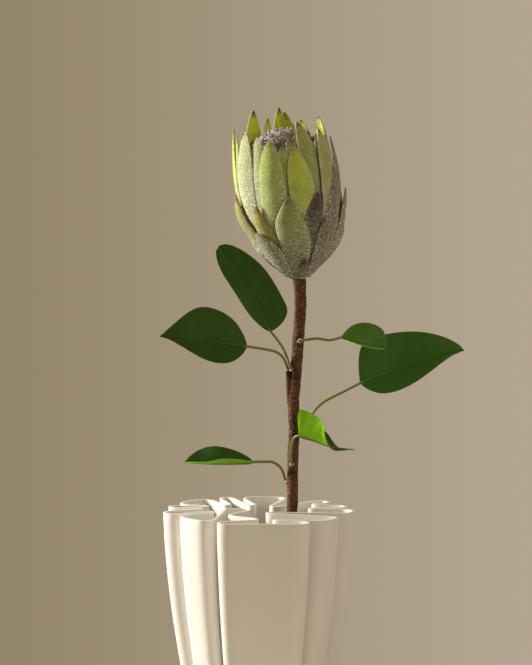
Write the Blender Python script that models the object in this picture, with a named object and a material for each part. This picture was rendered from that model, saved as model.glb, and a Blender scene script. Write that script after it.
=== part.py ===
"""Single protea flower on a leafy stem, standing in a vase whose wall is one folded ribbon.

Metres, +Z up. The origin is the centre of the vase's flat foot. The flower faces -Y.
"""
import math

import bmesh
import bpy
import numpy as np
from mathutils import Matrix, Vector

MM = 0.001
GAP = 0.3  # clear space between pieces that touch

# Vase, in mm
VASE_HEIGHT = 190.0
VASE_WALL = 2.2
VASE_FLOOR = 4.0
VASE_TAPER = 0.393  # how much narrower the foot is than the rim
VASE_TAPER_POWER = 1.61
VASE_LEVELS = (1.0, 0.86, 0.7, 0.52, 0.32, 0.14)  # heights of the wall's rings, as shares of the height
ARC_STEP = math.radians(30)
# The ribbon runs round these pegs like a belt: x, y, radius, and the side it passes on
# (1 = an outward lobe, -1 = the inner end of a groove).
PEGS = (
    (3.5, -270.2, 200, -1), (30, -63.8, 7.5, 1), (13, -50, 3, -1),
    (45.5, -48, 6.5, 1), (53, -38, 6.5, 1), (8, -14, 3, -1),
    (60.5, -6, 11.5, 1), (40, 8, 3, -1), (61, 18, 6, 1), (43, 30, 3, -1),
    (47, 42, 7.5, 1), (12, 19, 3.5, -1), (14, 63, 7, 1), (-4, 62.5, 7.5, 1), (-5, 26, 3, -1),
    (-25, 63, 5, 1), (-24, 28, 3, -1), (-43, 47, 9, 1), (-52, 36, 8, 1), (-40, 20, 2.8, -1),
    (-63, 18, 5.5, 1), (-44, 9, 2.8, -1), (-62, -12, 9, 1), (-36, -8, 3, -1),
    (-51, -33, 7, 1), (-39, -47, 7, 1), (-21, 3, 4, -1), (-9, 2, 4, -1),
    (-18, -25, 4.5, 1), (-2, -46, 2.8, -1), (-23, -64.4, 7, 1),
)

# Stem: height, x, y, radius in mm, from inside the vase up to the flower
STEM = (
    (VASE_FLOOR + GAP, 12, 2, 4.2), (60, 15.6, 1, 4.2), (125, 20.4, 0, 4.2), (190, 25.1, -1, 4.2),
    (226, 25.7, -1, 4.3), (249, 26.8, -1, 4.3), (273, 26.2, -1, 4.6), (284, 27.2, -1, 4.4),
    (307, 29, -1, 4.5), (341, 31.2, -1, 4.6), (356, 31, -0.5, 4.7), (364.3, 30.6, 0, 5.2),
)
STEM_SIDES = 12

# Flower head: a tilted axis from the top of the stem
HEAD_BASE = Vector((30.5, 0, 366))
HEAD_TILT = math.radians(-7.1)
HEAD_BOW = 2.6  # how far the head swells sideways near the stem, up to this height
HEAD_BOW_HEIGHT = 45
HEAD_HEIGHTS = (0, 8, 16, 28, 40, 51, 62, 80, 105, 132)
HEAD_RADII = (9.5, 19, 26.5, 33.6, 39, 42.3, 43.6, 44, 42.6, 39)
LAYER_STEP = 1.9
LAYER_POWERS = (3.4, 3.4, 3.6, 6.5, 7, 7, 7)  # how late the bracts of each layer close toward their tips
BRACT_THICK = 1.1
BRACT_CELLS = 4
# Each layer from the outside in: angle round the head (0 faces -Y), tip height, half-width, in mm.
LAYERS = (
    ((-98, 36, 14.5), (-48.5, 38, 15), (9, 14, 8), (42, 42, 12.5), (101, 38, 15), (162, 36, 15),
     (-150, 37, 15)),
    ((-75, 68, 11), (-5, 62, 13.5), (88, 62, 10), (128, 60, 13), (-176, 62, 13), (-118, 60, 13)),
    ((-89, 68, 11), (-44, 58, 9.5), (26, 63, 10.5), (61, 80, 10.5), (104, 66, 12), (155, 68, 12),
     (-147, 66, 12)),
    ((-61, 114, 12), (-20, 106, 11.3), (17.5, 97, 11), (56, 110, 9.6), (88.5, 102, 10.5), (128, 104, 11),
     (172, 100, 11), (-138, 104, 11), (-94, 116, 9.8)),
    ((-38, 109, 10), (21, 104, 10.5), (68, 106, 11), (115, 118, 11), (166, 125, 10), (-140, 129, 10.5),
     (-85, 110, 11)),
    ((-60, 110, 10), (-2, 100, 10), (40, 117, 10.5), (90, 112, 10.5), (145, 118, 9.5), (-177, 129, 9.5),
     (-112, 116, 10.5)),
    ((-157, 122, 7.4), (180, 115, 6.6), (158, 115, 6.6), (-108, 110, 8.5), (112, 112, 8.5), (62, 110, 8.5),
     (-66, 104, 8)),
)
# Height along the axis and radius, from the bottom up
CORE_PROFILE = (
    (-0.9, 5.2), (0.2, 8.4), (3, 9.6), (6, 10.4), (10, 11.1), (14, 11.8), (18, 13.2), (30, 17), (50, 19),
    (60, 18),
)
STYLES_PROFILE = ((60.4, 18), (75, 22.5), (92, 25), (104, 23.5), (111, 17), (114, 9))

# Leaves. Petiole: azimuth round the stem and height of its foot, then its path. Blade: its spine and the way
# its upper face looks; for each half its width, fold in degrees, sweep back at the base, widest place and how
# pointed it is; and the share of the folds that is left at the tip.
LEAVES = {
    "leaf_tall": dict(
        foot=(-55, 297), petiole=((21.6, -4, 305), (19, -5, 311.5), (14.5, -5, 318.5)),
        spine=((9, -5, 325.5), (1.6, -4, 340.1), (-8.7, -2, 360.5), (-19.1, 1, 375.8), (-29.2, 4, 389.5)),
        face=(0.2, -1, 0.25), widths=(19.5, 12), folds=(12, 8), sweeps=(0.3, 0.05), widest=(0.27, 0.6),
        point=(0.55, 0.42), relax=1),
    "leaf_left": dict(
        foot=(-105, 294), petiole=((18.6, -2, 305), (13, -4, 310), (2.7, -7, 312.6)),
        spine=((-8.8, -9, 314.6), (-22, -11, 316.6), (-39, -12, 318.4), (-56, -13, 320.3),
               (-73.3, -13, 322.6)),
        face=(-0.1, -1, 0.35), widths=(26, 16.5), folds=(8, 12), sweeps=(0.0, 0.1), widest=(0.54, 0.36),
        point=(1.05, 1.8), relax=1),
    "leaf_low": dict(
        foot=(-110, 211), petiole=((17, -4, 222), (11, -7, 227), (4, -9, 227.8)),
        spine=((-4.1, -11, 227.8), (-17, -13, 227.4), (-32, -15, 227.2), (-44, -17, 227.8),
               (-55, -19, 228.9)),
        face=(0, -0.1, 1), widths=(17, 12), folds=(42, 31), sweeps=(0.05, 0.05), widest=(0.6, 0.55),
        point=(0.9, 0.8), relax=0.7),
    "leaf_small": dict(
        foot=(12, 318), petiole=((34.5, -9, 319.5), (44, -13, 320.8), (53, -17, 320)),
        spine=((61.5, -21, 322.4), (70, -24, 320.8), (81, -28, 318), (88.5, -30, 316.4), (94, -31, 315.4)),
        face=(0, -0.1, 1), widths=(11, 16), folds=(3, 62), sweeps=(0.05, 0.05), widest=(0.5, 0.45),
        point=(0.4, 0.4), relax=1),
    "leaf_large": dict(
        foot=(84, 247), petiole=((37.5, 1, 254), (41.2, 2, 263.5), (49, 4, 271.3), (62, 6, 278)),
        spine=((76.8, 8, 285.4), (89, 9, 290.3), (106, 9, 296.4), (123.5, 7, 302.4), (139.5, 4, 307.2),
               (154.1, 0, 311)),
        face=(0.1, -1, 0.25), widths=(16, 28.5), folds=(8, 10), sweeps=(0.1, -0.05), widest=(0.34, 0.24),
        point=(1.7, 0.72), relax=1),
    "leaf_front": dict(
        foot=(-10, 225.4), petiole=((24.4, -10, 233), (25.2, -12, 241.4), (27, -14, 246.6)),
        spine=((30.4, -17, 248.6), (41.5, -20, 245.6), (52, -24, 242), (62, -28, 240.6), (71.2, -30, 239.8)),
        face=(0, 0.1, 1), widths=(20.5, 13), folds=(72, 58), sweeps=(0.45, 0.3), widest=(0.12, 0.1),
        point=(1.6, 2.2), relax=-0.3),
}
BLADE_THICK = 0.9
PETIOLE_RADIUS = 1.15
SECTION = 8  # points round a leaf's section

# colour, roughness
VASE_COLOUR = (0.86, 0.82, 0.74), 0.55
BARK_COLOUR = (0.2, 0.09, 0.035), 0.8
LEAF_COLOUR = (0.045, 0.1, 0.03), 0.5
BRACT_COLOUR = (0.32, 0.4, 0.11), 0.9
CORE_COLOUR = (0.3, 0.27, 0.18), 0.9
STYLES_COLOUR = (0.42, 0.33, 0.33), 0.95


def material(name, look):
    colour, roughness = look
    made = bpy.data.materials.new(name)
    made.use_nodes = True
    shader = made.node_tree.nodes["Principled BSDF"]
    shader.inputs["Base Color"].default_value = (*colour, 1)
    shader.inputs["Roughness"].default_value = roughness
    shader.inputs["Metallic"].default_value = 0
    made.diffuse_color = (*colour, 1)
    return made


def solid(name, rings, look):
    """A closed body lofted through rings of points in mm, all with the same count."""
    mesh = bmesh.new()
    loops = [[mesh.verts.new(Vector(point) * MM) for point in ring] for ring in rings]
    for lower, upper in zip(loops, loops[1:]):
        for i in range(len(lower)):
            j = (i + 1) % len(lower)
            mesh.faces.new((lower[i], lower[j], upper[j], upper[i]))
    mesh.faces.new(loops[0][::-1])
    mesh.faces.new(loops[-1])
    bmesh.ops.triangulate(mesh, faces=mesh.faces)
    bmesh.ops.recalc_face_normals(mesh, faces=mesh.faces)
    data = bpy.data.meshes.new(name)
    mesh.to_mesh(data)
    mesh.free()
    for face in data.polygons:
        face.use_smooth = True
    data.materials.append(material(name, look))
    made = bpy.data.objects.new(name, data)
    bpy.context.scene.collection.objects.link(made)
    return made


def smooth_path(points, steps):
    """A Catmull-Rom curve through the points."""
    points = [np.array(point, float) for point in points]
    padded = [2 * points[0] - points[1], *points, 2 * points[-1] - points[-2]]
    out = []
    for a, b, c, d in zip(padded, padded[1:], padded[2:], padded[3:]):
        for i in range(steps):
            t = i / steps
            square, cube = 2 * a - 5 * b + 4 * c - d, 3 * b - a - 3 * c + d
            out.append(0.5 * (2 * b + (c - a) * t + square * t**2 + cube * t**3))
    return [*out, points[-1]]


# Vase ------------------------------------------------------------------------------------------------------
def belt(pegs):
    """Points and outward normals of a belt that runs anticlockwise round the pegs."""
    headings = []
    for (x, y, r, s), (x2, y2, r2, s2) in zip(pegs, (*pegs[1:], pegs[0])):
        length = math.hypot(x2 - x, y2 - y)
        headings.append(math.atan2(y2 - y, x2 - x) - math.asin((s2 * r2 - s * r) / length))
    points, normals = [], []
    for i, (x, y, r, s) in enumerate(pegs):
        sweep = (s * (headings[i] - headings[i - 1])) % (2 * math.pi)
        cells = max(1, math.ceil(sweep / ARC_STEP))
        for j in range(cells + 1):
            angle = headings[i - 1] + s * sweep * j / cells
            normal = np.array((math.sin(angle), -math.cos(angle)))
            points.append(np.array((x, y)) + s * r * normal)
            normals.append(normal)
    return np.array(points), np.array(normals)


def vase_scale(share):
    """Width of the vase at a share of its height, against the width at the rim."""
    return 1 - VASE_TAPER * (1 - share) ** VASE_TAPER_POWER


def make_vase():
    points, normals = belt(PEGS)
    outer = points + normals * VASE_WALL / 2
    inner = points - normals * VASE_WALL / 2

    def ring(outline, height):
        scale = vase_scale(height / VASE_HEIGHT)
        return [(x * scale, y * scale, height) for x, y in outline]

    outside = [ring(outer, 0)] + [ring(outer, VASE_HEIGHT * share) for share in reversed(VASE_LEVELS)]
    inside = [ring(inner, VASE_HEIGHT * share) for share in VASE_LEVELS] + [ring(inner, VASE_FLOOR)]
    return solid("vase", outside + inside, VASE_COLOUR)


# Stem and leaves -------------------------------------------------------------------------------------------
def make_stem():
    rings = []
    for height, x, y, radius in STEM:
        turns = [2 * math.pi * i / STEM_SIDES for i in range(STEM_SIDES)]
        rings.append([(x + radius * math.cos(a), y + radius * math.sin(a), height) for a in turns])
    return solid("stem", rings, BARK_COLOUR)


def stem_at(height):
    heights, xs, ys, radii = zip(*STEM)
    return (float(np.interp(height, heights, values)) for values in (xs, ys, radii))


def blade_width(share, widest, point):
    """Half-width of a blade along its length, against its widest."""
    if share < widest:
        return 0.1 + 0.9 * math.sin(math.pi / 2 * share / widest) ** 0.75
    return 0.05 + 0.95 * math.cos(math.pi / 2 * (share - widest) / (1 - widest)) ** point


def left_of_fold(share, relax):
    """Share of the folds that is left at a place along the blade."""
    opening = min(max((share - 0.4) / 0.35, 0), 1)
    return 1 - (1 - relax) * opening**2 * (3 - 2 * opening)


def make_leaf(name, foot, petiole, spine, face, widths, folds, sweeps, widest, point, relax):
    azimuth, height = math.radians(foot[0]), foot[1]
    x, y, radius = stem_at(height)
    outward = np.array((math.sin(azimuth), -math.cos(azimuth), 0))
    start = np.array((x, y, height)) + outward * (radius + GAP + 0.1)
    stalk = smooth_path([start, start + outward * 2.2, *petiole, spine[0]], 2)[:-1]
    rib = smooth_path(spine, 2)
    path = stalk + rib
    face = np.array(face, float)
    rings = []
    for i, centre in enumerate(path):
        ahead = path[min(i + 1, len(path) - 1)] - path[max(i - 1, 0)]
        if i == 0:
            ahead = outward
        ahead = ahead / np.linalg.norm(ahead)
        side = np.cross(ahead, face)
        side /= np.linalg.norm(side)
        up = np.cross(side, ahead)
        if i <= len(stalk):
            radius = PETIOLE_RADIUS * (1.3 if i < 2 else 1)
            turns = [2 * math.pi * k / SECTION for k in range(SECTION)]
            rings.append([centre + radius * (side * math.cos(a) + up * math.sin(a)) for a in turns])
            continue
        along = (i - len(stalk)) / (len(rib) - 1)
        ring = []
        for k in range(SECTION):
            angle = 2 * math.pi * k / SECTION
            across, rise = math.cos(angle), math.sin(angle)
            half = 0 if across > 0 else 1
            reach = abs(across) * widths[half] * blade_width(along, widest[half], point[half])
            tilt = math.radians(folds[half]) * left_of_fold(along, relax)
            outer = side * math.copysign(1, across)
            back = ahead * sweeps[half] * (1 - along)
            place = centre + reach * (outer * math.cos(tilt) + up * math.sin(tilt) - back)
            normal = up if abs(across) < 0.1 else up * math.cos(tilt) - outer * math.sin(tilt)
            ring.append(place + normal * math.copysign(min(abs(rise), 0.7), rise) * BLADE_THICK * 0.7)
        rings.append(ring)
    return solid(name, rings, LEAF_COLOUR)


# Flower head -----------------------------------------------------------------------------------------------
HEAD_TURN = Matrix.Rotation(HEAD_TILT, 3, "Y")


def on_head(angle, radius, height):
    """A place on the head, which is fuller at its right near the stem."""
    sideways = HEAD_BOW * math.sin(math.pi * min(max(height / HEAD_BOW_HEIGHT, 0), 1))
    x, y = radius * math.sin(angle) + sideways, -radius * math.cos(angle)
    return HEAD_BASE + HEAD_TURN @ Vector((x, y, height))


def turned(name, profile, sides, look):
    turns = [2 * math.pi * i / sides for i in range(sides)]
    return solid(name, [[on_head(a, radius, height) for a in turns] for height, radius in profile], look)


def bract_width(share, power):
    """Half-width of a bract along its length, against its widest."""
    return (1 - share**power) ** 0.85 * (0.85 + 0.15 * min(share / 0.5, 1)) + 0.08 * share**power


def make_bract(name, layer, azimuth, tip, half_width):
    base = 1 + 2.2 * layer
    heights = [base, *(h for h in HEAD_HEIGHTS if base + 1 < h < tip - 2), tip]
    rings = []
    for height in heights:
        radius = float(np.interp(height, HEAD_HEIGHTS, HEAD_RADII)) - layer * LAYER_STEP
        width = bract_width((height - base) / (tip - base), LAYER_POWERS[layer])
        reach = half_width * width / max(radius, 38)
        angles = [math.radians(azimuth) + reach * (2 * i / BRACT_CELLS - 1) for i in range(BRACT_CELLS + 1)]
        outside = [on_head(a, radius, height) for a in angles]
        inside = [on_head(a, radius - BRACT_THICK, height) for a in reversed(angles)]
        rings.append(outside + inside)
    return solid(name, rings, BRACT_COLOUR)


def main():
    for thing in list(bpy.data.objects):
        bpy.data.objects.remove(thing)
    make_vase()
    make_stem()
    for name, shape in LEAVES.items():
        make_leaf(name, **shape)
    turned("core", CORE_PROFILE, 16, CORE_COLOUR)
    turned("styles", STYLES_PROFILE, 16, STYLES_COLOUR)
    for layer, row in enumerate(LAYERS):
        for i, (azimuth, tip, half_width) in enumerate(row):
            make_bract(f"bract_{layer}_{i}", layer, azimuth, tip, half_width)


main()
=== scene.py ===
# %% [markdown]
# # A protea flower in a folded vase
# One flower head of velvety bracts sits on a bark-covered stem with six stalked leaves. The stem stands in a
# pale ceramic vase whose wall is a single ribbon, folded in and out like a bow. The solid model is loaded
# first as a fixed frame, and each finished piece is then built in the place its solid holds.

import math

import bpy
import numpy as np
from mathutils import Matrix, Vector, noise


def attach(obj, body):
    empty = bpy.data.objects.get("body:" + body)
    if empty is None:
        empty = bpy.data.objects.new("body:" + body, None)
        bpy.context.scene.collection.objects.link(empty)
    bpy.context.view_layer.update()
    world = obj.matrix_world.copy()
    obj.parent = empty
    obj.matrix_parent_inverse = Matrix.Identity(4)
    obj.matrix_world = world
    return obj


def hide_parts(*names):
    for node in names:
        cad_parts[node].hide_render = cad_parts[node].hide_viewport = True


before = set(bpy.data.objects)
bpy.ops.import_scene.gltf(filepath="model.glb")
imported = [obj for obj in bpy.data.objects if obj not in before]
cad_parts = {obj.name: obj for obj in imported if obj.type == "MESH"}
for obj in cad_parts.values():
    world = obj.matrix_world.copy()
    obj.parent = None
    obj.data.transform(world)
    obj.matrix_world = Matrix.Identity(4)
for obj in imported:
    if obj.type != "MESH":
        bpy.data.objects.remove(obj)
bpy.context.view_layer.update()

# %% [markdown]
# ## Working in edit mode from code
# Blender's operators act on whatever is selected, just as they do by hand. So each helper first deselects
# everything, then picks the one object it works on. The sheet is the start of most pieces here: petals,
# leaves and even a folded wall are all thin sheets before they are bent.

# %% Helpers: select, finish modifiers, start from a sheet
MM = 0.001


def pick(*objects):
    bpy.ops.object.select_all(action="DESELECT")
    for thing in objects:
        thing.select_set(True)
    bpy.context.view_layer.objects.active = objects[0]


def add_modifier(obj, kind, **settings):
    """Add one modifier and apply it straight away."""
    pick(obj)
    made = obj.modifiers.new(kind.title(), kind)
    for setting, value in settings.items():
        setattr(made, setting, value)
    bpy.ops.object.modifier_apply(modifier=made.name)


def wear(obj, *finishes):
    """Give an object its materials, in order."""
    obj.data.materials.clear()
    for finish in finishes:
        obj.data.materials.append(finish)


def smooth(obj, degrees=50):
    pick(obj)
    bpy.ops.object.shade_smooth_by_angle(angle=math.radians(degrees))


def sheet(name, across, along):
    """A flat grid of vertices. Returns it with each vertex's place across (-1 to 1) and along (0 to 1)."""
    bpy.ops.object.select_all(action="DESELECT")
    bpy.ops.mesh.primitive_grid_add(x_subdivisions=across, y_subdivisions=along, size=2)
    obj = bpy.context.object
    obj.name = obj.data.name = name
    flat = np.array([vertex.co for vertex in obj.data.vertices])
    return obj, flat[:, 0], (flat[:, 1] + 1) / 2


def bend_to(obj, places_mm):
    """Move every vertex of a sheet to its place, given in millimetres."""
    obj.data.vertices.foreach_set("co", (np.asarray(places_mm) * MM).astype(np.float32).ravel())
    obj.data.update()


def close_seam(obj, fill_ends=True):
    """Weld the two long edges of a rolled sheet, and close its ends."""
    pick(obj)
    bpy.ops.object.mode_set(mode="EDIT")
    bpy.ops.mesh.select_all(action="SELECT")
    bpy.ops.mesh.remove_doubles(threshold=1e-6)
    if fill_ends:
        bpy.ops.mesh.select_all(action="DESELECT")
        bpy.ops.mesh.select_mode(type="EDGE")
        bpy.ops.mesh.select_non_manifold()
        bpy.ops.mesh.fill_holes(sides=0)
    bpy.ops.mesh.select_all(action="SELECT")
    bpy.ops.mesh.normals_make_consistent(inside=False)
    bpy.ops.object.mode_set(mode="OBJECT")


def curve_through(points, count):
    """A smooth path of count points through a few guide points (Catmull-Rom)."""
    points = np.array(points, float)
    padded = np.vstack([2 * points[0] - points[1], points, 2 * points[-1] - points[-2]])
    spans = len(points) - 1
    out = []
    for place in np.linspace(0, spans, count):
        i = min(int(place), spans - 1)
        t = place - i
        a, b, c, d = padded[i:i + 4]
        out.append(0.5 * (2 * b + (c - a) * t + (2 * a - 5 * b + 4 * c - d) * t**2
                          + (3 * b - a - 3 * c + d) * t**3))
    return np.array(out)


def unit(vectors):
    return vectors / np.maximum(np.linalg.norm(vectors, axis=-1, keepdims=True), 1e-9)


def ripple(places, size, seed=0.0):
    """A slow random value from -1 to 1 at each place, with features of about the given size."""
    offset = Vector((seed, seed * 0.7, -seed))
    return np.array([noise.noise(Vector(place) / size + offset) for place in places])


print("helpers ready")

# %% [markdown]
# ## Shared finishes
# Several materials need the same effects: a fine speckle of pale hairs over the velvety bracts, and slow
# patches of lighter and darker colour on everything that grew. Each is a node group, built once, with its
# numbers as inputs, so one effect can be fine on a bract and coarse on bark.


# %% Node helpers and the shared groups
def new_group(name, inputs, outputs):
    group = bpy.data.node_groups.new(name, "ShaderNodeTree")
    for socket, kind, value in inputs:
        made = group.interface.new_socket(socket, in_out="INPUT", socket_type=kind)
        made.default_value = value
    for socket, kind in outputs:
        group.interface.new_socket(socket, in_out="OUTPUT", socket_type=kind)
    return group, group.nodes.new("NodeGroupInput"), group.nodes.new("NodeGroupOutput")


def add(tree, kind, **values):
    """A node, with its properties and unlinked inputs set by name."""
    node = tree.nodes.new("ShaderNode" + kind)
    for key, value in values.items():
        if hasattr(node, key):
            setattr(node, key, value)
        else:
            node.inputs[key.replace("_", " ").title()].default_value = value
    return node


def math_node(tree, operation, first, second=None):
    node = add(tree, "Math", operation=operation)
    for socket, value in zip(node.inputs, (first, second)):
        if value is None:
            continue
        if isinstance(value, (int, float)):
            socket.default_value = value
        else:
            tree.links.new(value, socket)
    return node.outputs[0]


def mix_colour(tree, factor, first, second, blend="MIX"):
    """Mix two colours. A Mix node has a socket of each kind under one name, so the enabled one is taken."""
    node = add(tree, "Mix", data_type="RGBA", blend_type=blend)
    for name, value in (("Factor", factor), ("A", first), ("B", second)):
        target = next(socket for socket in node.inputs if socket.name == name and socket.enabled)
        if isinstance(value, bpy.types.NodeSocket):
            tree.links.new(value, target)
        elif isinstance(value, tuple):
            target.default_value = (*value, 1)
        else:
            target.default_value = value
    return next(socket for socket in node.outputs if socket.enabled)


def ramp(tree, value, *stops):
    """Turn a value into colours or greys, from pairs of a position and what it gives there."""
    node = add(tree, "ValToRGB")
    elements = node.color_ramp.elements
    while len(elements) < len(stops):
        elements.new(0.5)
    for element, (position, colour) in zip(elements, stops):
        element.position = position
        element.color = (*colour, 1) if isinstance(colour, tuple) else (colour, colour, colour, 1)
    tree.links.new(value, node.inputs[0])
    return node.outputs[0]


def grain(tree, place, scale, kind="TexNoise", **settings):
    """A noise or cell pattern that sits in the piece's own coordinates."""
    node = add(tree, kind, **settings)
    node.inputs["Scale"].default_value = scale
    tree.links.new(place.outputs["Object"], node.inputs["Vector"])
    return node


FLOAT, COLOUR, VECTOR = "NodeSocketFloat", "NodeSocketColor", "NodeSocketVector"


def build_velvet():
    """Short pale hairs: a grainy speckle that shows as colour and as a tiny roughness of the surface."""
    group, given, out = new_group(
        "velvet",
        [("Place", VECTOR, (0, 0, 0)), ("Green", COLOUR, (0.3, 0.4, 0.1, 1)),
         ("Hair", COLOUR, (0.8, 0.8, 0.7, 1)), ("Amount", FLOAT, 0.5), ("Grain", FLOAT, 1500.0)],
        [("Color", COLOUR), ("Height", FLOAT)])
    fine = add(group, "TexNoise", detail=3.0, roughness=0.65)
    group.links.new(given.outputs["Place"], fine.inputs["Vector"])
    group.links.new(given.outputs["Grain"], fine.inputs["Scale"])
    grains = ramp(group, fine.outputs["Fac"], (0.48, 0.0), (0.57, 1.0))
    cover = math_node(group, "MULTIPLY", grains, given.outputs["Amount"])
    softer = math_node(group, "MULTIPLY", given.outputs["Amount"], 0.22)
    total = math_node(group, "ADD", cover, softer)
    clipped = math_node(group, "MINIMUM", total, 1.0)
    mixed = mix_colour(group, clipped, given.outputs["Green"], given.outputs["Hair"])
    group.links.new(mixed, out.inputs["Color"])
    group.links.new(cover, out.inputs["Height"])
    return group


def build_drift():
    """Slow patches: turns any colour a little lighter and darker over a few centimetres."""
    group, given, out = new_group(
        "drift",
        [("Place", VECTOR, (0, 0, 0)), ("Color", COLOUR, (0.5, 0.5, 0.5, 1)), ("Size", FLOAT, 40.0),
         ("Strength", FLOAT, 0.2)],
        [("Color", COLOUR), ("Mask", FLOAT)])
    slow = add(group, "TexNoise", detail=4.0, roughness=0.55)
    group.links.new(given.outputs["Place"], slow.inputs["Vector"])
    group.links.new(given.outputs["Size"], slow.inputs["Scale"])
    spread = math_node(group, "SUBTRACT", slow.outputs["Fac"], 0.5)
    scaled = math_node(group, "MULTIPLY", spread, given.outputs["Strength"])
    factor = math_node(group, "ADD", math_node(group, "MULTIPLY", scaled, 2.0), 1.0)
    tinted = add(group, "VectorMath", operation="SCALE")
    group.links.new(given.outputs["Color"], tinted.inputs[0])
    group.links.new(factor, tinted.inputs["Scale"])
    group.links.new(tinted.outputs[0], out.inputs["Color"])
    group.links.new(slow.outputs["Fac"], out.inputs["Mask"])
    return group


velvet_group, drift_group = build_velvet(), build_drift()


def place_group(tree, group, **inputs):
    node = tree.nodes.new("ShaderNodeGroup")
    node.node_tree = group
    for key, value in inputs.items():
        socket = node.inputs[key]
        if isinstance(value, bpy.types.NodeSocket):
            tree.links.new(value, socket)
        elif isinstance(value, tuple):
            socket.default_value = (*value, 1)
        else:
            socket.default_value = value
    return node


def new_material(name, **settings):
    """A material with its Principled shader, its tree and a Texture Coordinate node."""
    made = bpy.data.materials.new(name)
    made.use_nodes = True
    tree = made.node_tree
    shader = tree.nodes["Principled BSDF"]
    for key, value in settings.items():
        socket = shader.inputs[key.replace("_", " ").title()]
        socket.default_value = (*value, 1) if isinstance(value, tuple) else value
    return made, tree, shader, tree.nodes.new("ShaderNodeTexCoord")


def bump(tree, shader, height, distance, strength=1.0):
    node = add(tree, "Bump", distance=distance, strength=strength)
    tree.links.new(height, node.inputs["Height"])
    tree.links.new(node.outputs[0], shader.inputs["Normal"])


print("groups:", velvet_group.name, drift_group.name)

# %% [markdown]
# ## The ceramic
# The vase is cast in pale clay and left matt. Such a surface is nearly one colour, so what makes it real is
# small: a slightly uneven sheen and a very fine tooth that softens the highlights along each fold.

# %% Ceramic material
CLAY = (0.77, 0.735, 0.675)


def build_ceramic():
    made, tree, shader, place = new_material("matt_ceramic", roughness=0.5)
    shader.inputs["Specular IOR Level"].default_value = 0.35
    drift = place_group(tree, drift_group, Place=place.outputs["Object"], Color=CLAY, Size=18.0,
                        Strength=0.03)
    tree.links.new(drift.outputs["Color"], shader.inputs["Base Color"])
    tooth = grain(tree, place, 900.0, detail=3.0)
    sheen = ramp(tree, tooth.outputs["Fac"], (0.3, 0.44), (0.7, 0.58))
    tree.links.new(sheen, shader.inputs["Roughness"])
    bump(tree, shader, tooth.outputs["Fac"], 0.00012, 0.25)
    return made


ceramic = build_ceramic()
print("made", ceramic.name)

# %% [markdown]
# ## The folded wall
# The wall is one ribbon that runs out round each lobe and back in round the end of each groove, like a belt
# round pegs. A list of pegs says it all: where each is, how wide, and on which side the belt passes. The
# belt is worked out from that rule, eased a little so that the turns flow, and a flat sheet is stood up along
# it. Widths at lower heights follow one taper, so the folds narrow together toward the foot. The nearly flat
# front panel is an arc too, round one very large peg. Drawing each curve by hand would also work, but a peg
# is far easier to move.

# %% The belt round the pegs
# Sizes are in millimetres. Each peg is x, y, radius, and the way the belt turns round it: 1 left, -1 right.
VASE_HEIGHT, VASE_WALL = 190.0, 2.2
VASE_TAPER, VASE_TAPER_POWER = 0.393, 1.61
PEGS = (
    (3.5, -270.2, 200, -1), (30, -63.8, 7.5, 1), (13, -50, 3, -1),
    (45.5, -48, 6.5, 1), (53, -38, 6.5, 1), (8, -14, 3, -1),
    (60.5, -6, 11.5, 1), (40, 8, 3, -1), (61, 18, 6, 1), (43, 30, 3, -1),
    (47, 42, 7.5, 1), (12, 19, 3.5, -1), (14, 63, 7, 1), (-4, 62.5, 7.5, 1), (-5, 26, 3, -1),
    (-25, 63, 5, 1), (-24, 28, 3, -1), (-43, 47, 9, 1), (-52, 36, 8, 1), (-40, 20, 2.8, -1),
    (-63, 18, 5.5, 1), (-44, 9, 2.8, -1), (-62, -12, 9, 1), (-36, -8, 3, -1),
    (-51, -33, 7, 1), (-39, -47, 7, 1), (-21, 3, 4, -1), (-9, 2, 4, -1),
    (-18, -25, 4.5, 1), (-2, -46, 2.8, -1), (-23, -64.4, 7, 1),
)
ARC_STEPS = 24


def belt(pegs, spacing=1.6, easing=10):
    """An evenly spaced closed line that runs anticlockwise round the pegs."""
    headings = []
    for (x, y, r, s), (x2, y2, r2, s2) in zip(pegs, (*pegs[1:], pegs[0])):
        length = math.hypot(x2 - x, y2 - y)
        headings.append(math.atan2(y2 - y, x2 - x) - math.asin((s2 * r2 - s * r) / length))
    corners = []
    for i, (x, y, r, s) in enumerate(pegs):
        sweep = (s * (headings[i] - headings[i - 1])) % (2 * math.pi)
        for j in range(ARC_STEPS + 1):
            angle = headings[i - 1] + s * sweep * j / ARC_STEPS
            corners.append((x + s * r * math.sin(angle), y - s * r * math.cos(angle)))
    corners = np.array(corners)
    steps = np.linalg.norm(np.roll(corners, -1, 0) - corners, axis=1)
    travelled = np.concatenate([[0], np.cumsum(steps)])
    count = int(travelled[-1] / spacing)
    wanted = np.arange(count) * travelled[-1] / count
    closed = np.vstack([corners, corners[:1]])
    line = np.column_stack([np.interp(wanted, travelled, closed[:, axis]) for axis in (0, 1)])
    for _ in range(easing):
        line = line * 0.5 + (np.roll(line, 1, 0) + np.roll(line, -1, 0)) * 0.25
    return line


def vase_scale(share):
    """Width of the vase at a share of its height, against the width at the rim."""
    return 1 - VASE_TAPER * (1 - share) ** VASE_TAPER_POWER


ribbon = belt(PEGS)
print("ribbon points:", len(ribbon))

# %% [markdown]
# A sheet with one column for each point of the ribbon stands up along it. Its side edges are welded, the foot
# is filled, Solidify gives the wall its thickness to both sides, and a small Bevel rounds the rim, which
# would otherwise look cut rather than cast.

# %% Vase wall
WALL_LEVELS = 22
RIM_ROUNDING = 0.75
FOOT_REACH = 0.5


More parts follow.
